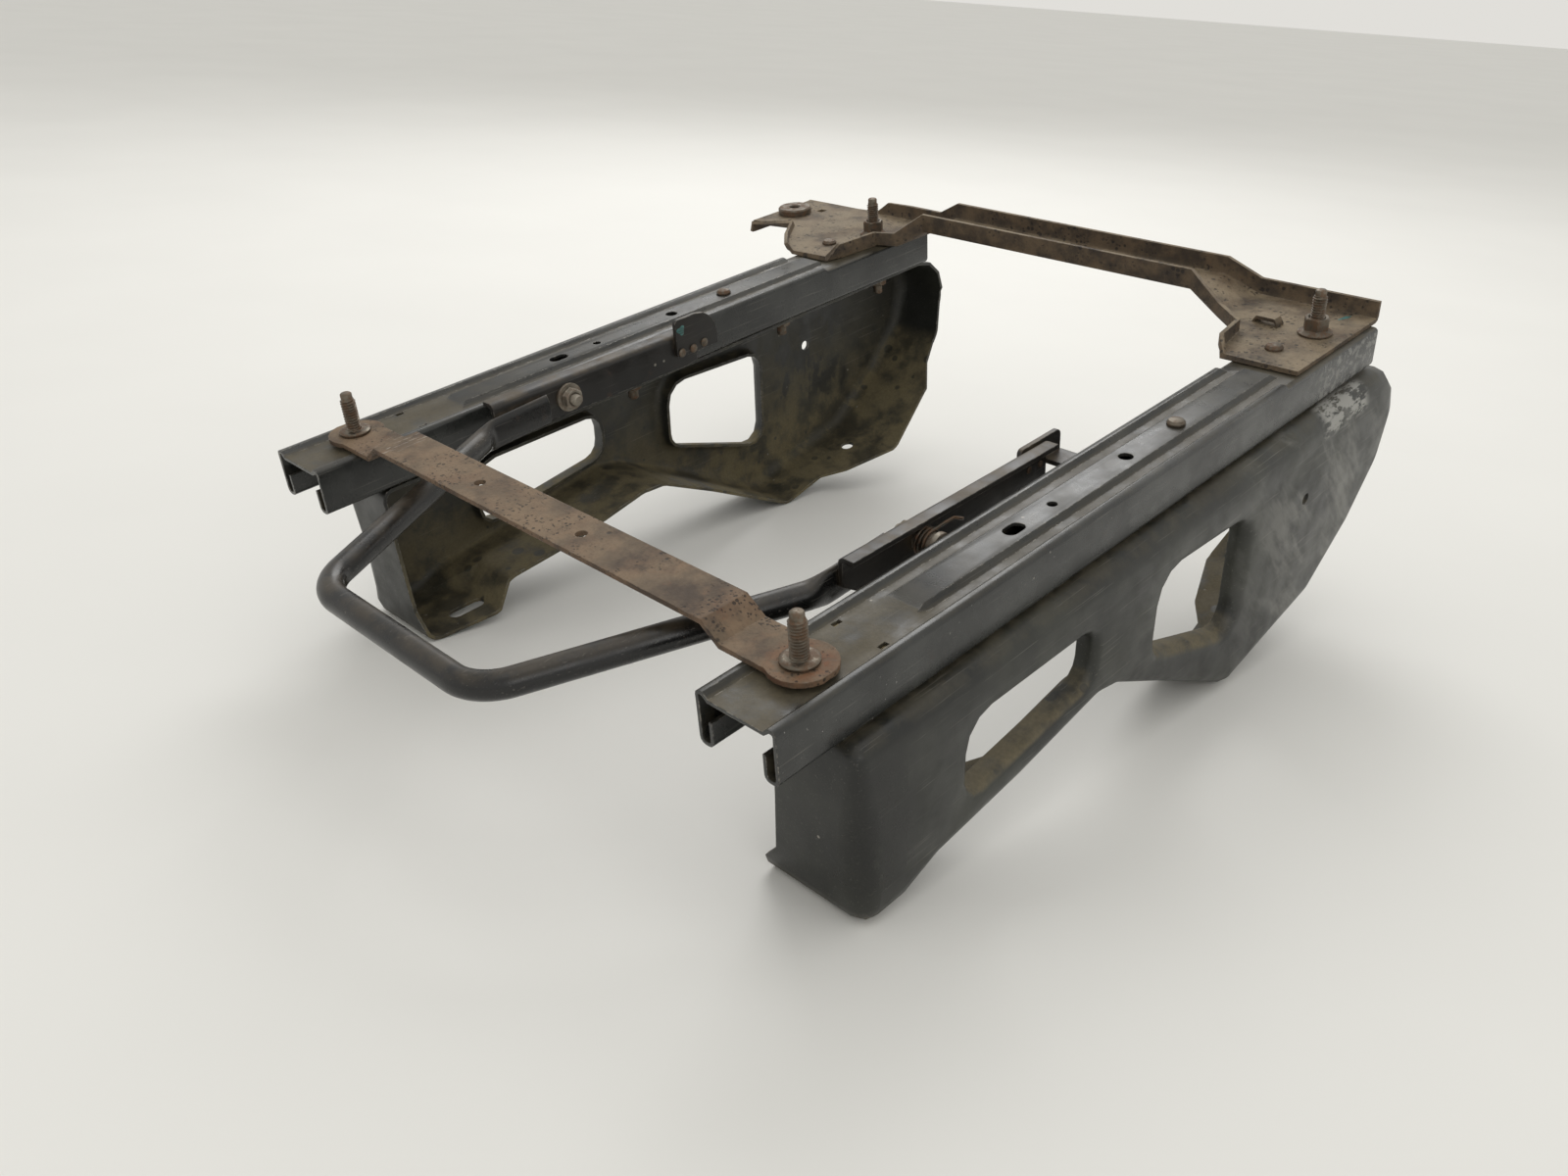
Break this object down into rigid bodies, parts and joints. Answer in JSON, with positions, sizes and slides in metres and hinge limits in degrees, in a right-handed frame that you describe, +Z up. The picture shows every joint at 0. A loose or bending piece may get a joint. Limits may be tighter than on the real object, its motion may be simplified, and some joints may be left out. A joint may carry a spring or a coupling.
{
  "type": "seat riser bracket",
  "caption": "Pair of pressed steel seat risers with sliding tracks, joined by a front strap and a rear cross channel, with a U-shaped adjuster bar under the front.",
  "frame": {"origin": "centre of the footprint, on the floor under the four feet", "axes": "+X to the right riser seen from behind the seat, +Y towards the rear of the tracks, +Z up; the tracks rise 8.7 degrees towards +Y"},
  "size_m": [0.558, 0.6882, 0.253],
  "materials": {
    "black_paint": "worn satin black paint",
    "dusty_paint": "black paint under a film of dust",
    "rusty_steel": "brown surface rust, pitted",
    "dull_steel": "dull plated steel, lightly rusted",
    "nylon": "natural nylon"
  },
  "bodies": {
    "base": {"right_riser": "dusty_paint", "left_riser": "dusty_paint", "right_lower_rail": "black_paint", "left_lower_rail": "black_paint", "right_glide_front_inner": "nylon", "right_glide_front_outer": "nylon", "right_glide_rear_inner": "nylon", "right_glide_rear_outer": "nylon", "left_glide_front_inner": "nylon", "left_glide_front_outer": "nylon", "left_glide_rear_inner": "nylon", "left_glide_rear_outer": "nylon", "right_rail_bolt_1": "dull_steel", "right_rail_bolt_2": "dull_steel", "right_rail_bolt_3": "dull_steel", "right_rail_bolt_4": "dull_steel", "left_rail_bolt_1": "dull_steel", "left_rail_bolt_2": "dull_steel", "left_rail_bolt_3": "dull_steel", "left_rail_bolt_4": "dull_steel", "right_rail_nut_1": "dull_steel", "right_rail_nut_2": "dull_steel", "right_rail_nut_3": "dull_steel", "right_rail_nut_4": "dull_steel", "left_rail_nut_1": "dull_steel", "left_rail_nut_2": "dull_steel", "left_rail_nut_3": "dull_steel", "left_rail_nut_4": "dull_steel"},
    "carriage": {"right_upper_rail": "black_paint", "left_upper_rail": "black_paint", "front_strap": "rusty_steel", "rear_cross_channel": "rusty_steel", "anchor_boss": "dull_steel", "right_front_stud": "dull_steel", "left_front_stud": "dull_steel", "right_rear_stud": "dull_steel", "left_rear_stud": "dull_steel", "right_rear_nut": "dull_steel", "left_rear_nut": "dull_steel", "right_rail_rivet": "dull_steel", "left_rail_rivet": "dull_steel", "right_plate_rivet": "dull_steel", "left_plate_rivet": "dull_steel", "right_pivot_stud": "dull_steel", "left_pivot_stud": "dull_steel", "right_pivot_washer": "dull_steel", "left_pivot_washer": "dull_steel", "right_pivot_nut": "dull_steel", "left_pivot_nut": "dull_steel"},
    "lever": {"adjuster_bar": "black_paint", "right_lever_arm": "black_paint", "left_lever_arm": "black_paint", "right_latch_plate": "black_paint", "left_latch_plate": "black_paint", "right_lever_spring": "dull_steel", "left_lever_spring": "dull_steel", "right_latch_rivet_1": "dull_steel", "right_latch_rivet_2": "dull_steel", "left_latch_rivet_1": "dull_steel", "left_latch_rivet_2": "dull_steel"}
  },
  "joints": [
    {"name": "carriage_slide", "type": "slide", "parent": "base", "child": "carriage", "axis": [0, 0.9885, 0.1513], "range_m": [-0.11, 0.07]},
    {"name": "lever_hinge", "type": "hinge", "parent": "carriage", "child": "lever", "pos_m": [0.04299, -0.10643, 0.15745], "axis": [-1, 0, 0], "range_deg": [0, 4.5], "stiffness_Nm_per_rad": 1.5, "springref_deg": -9.74}
  ]
}
